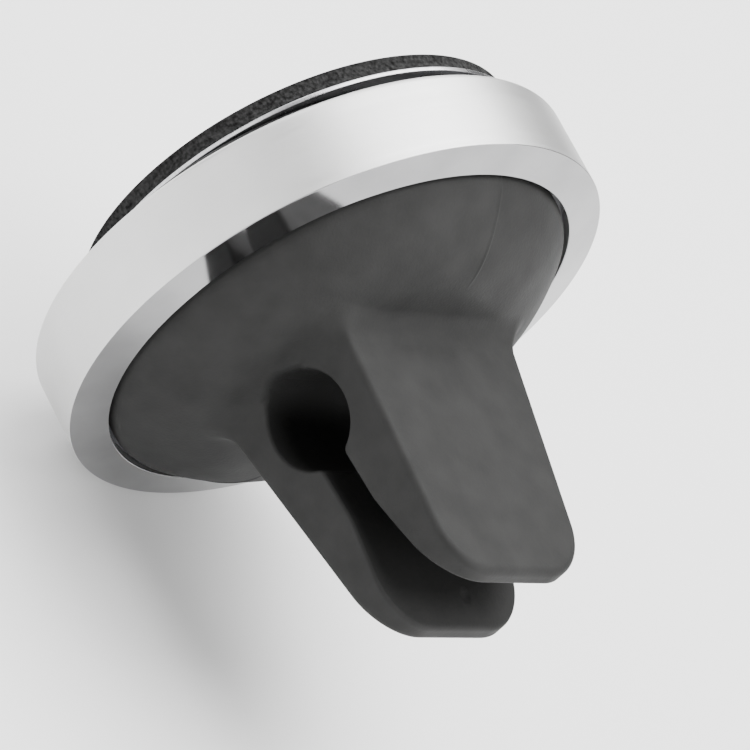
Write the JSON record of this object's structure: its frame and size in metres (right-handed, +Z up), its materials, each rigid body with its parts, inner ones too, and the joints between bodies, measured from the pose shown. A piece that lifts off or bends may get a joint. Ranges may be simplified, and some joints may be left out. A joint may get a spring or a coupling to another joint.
{
  "type": "car phone mount",
  "caption": "Magnetic phone mount for a car air vent: round magnet head with a stick-on steel plate for the phone, and a sprung rubber clip that grips a vent blade.",
  "frame": {"origin": "middle of the slot between the jaws, where the vent blade is held", "axes": "+Y rearward from the phone into the vent, the way a vent blade leaves the slot; +Z up, square to the blade; +X along the blade"},
  "size_m": [0.0362, 0.0301, 0.0362],
  "materials": {
    "plate_steel": "satin rolled steel",
    "foam": "open-cell adhesive foam",
    "pad_rubber": "soft matte",
    "film": "translucent adhesive film",
    "cover_plastic": "fine-textured moulded plastic",
    "magnet_nickel": "nickel plated",
    "yoke_steel": "zinc plated",
    "screw_steel": "zinc plated",
    "ring_aluminium": "fine satin wall, mirror-cut bezel",
    "core_plastic": "moulded nylon",
    "clip_rubber": "matte charcoal moulded rubber"
  },
  "bodies": {
    "head": {"front_pad": "pad_rubber", "pad_adhesive": "film", "front_cover": "cover_plastic", "magnet_1": "magnet_nickel", "magnet_2": "magnet_nickel", "magnet_3": "magnet_nickel", "magnet_4": "magnet_nickel", "magnet_5": "magnet_nickel", "magnet_6": "magnet_nickel", "yoke_plate": "yoke_steel", "cover_screws": "screw_steel", "trim_ring": "ring_aluminium", "clip_core": "core_plastic", "rear_cover": "clip_rubber"},
    "phone_plate": {"phone_plate": "plate_steel", "plate_adhesive": "foam"},
    "upper_jaw": {"upper_jaw": "clip_rubber", "upper_core_arm": "core_plastic"},
    "lower_jaw": {"lower_jaw": "clip_rubber", "lower_core_arm": "core_plastic"}
  },
  "joints": [
    {"name": "phone_plate_lift", "type": "slide", "parent": "head", "child": "phone_plate", "axis": [0, -1, 0], "range_m": [0, 0.03]},
    {"name": "upper_jaw_flex", "type": "hinge", "parent": "head", "child": "upper_jaw", "pos_m": [0, -0.0052, 0.0041], "axis": [1, 0, 0], "range_deg": [-2, 8], "stiffness_Nm_per_rad": 0.85},
    {"name": "lower_jaw_flex", "type": "hinge", "parent": "head", "child": "lower_jaw", "pos_m": [0, -0.0052, -0.0041], "axis": [-1, 0, 0], "range_deg": [-2, 8], "stiffness_Nm_per_rad": 0.85}
  ]
}
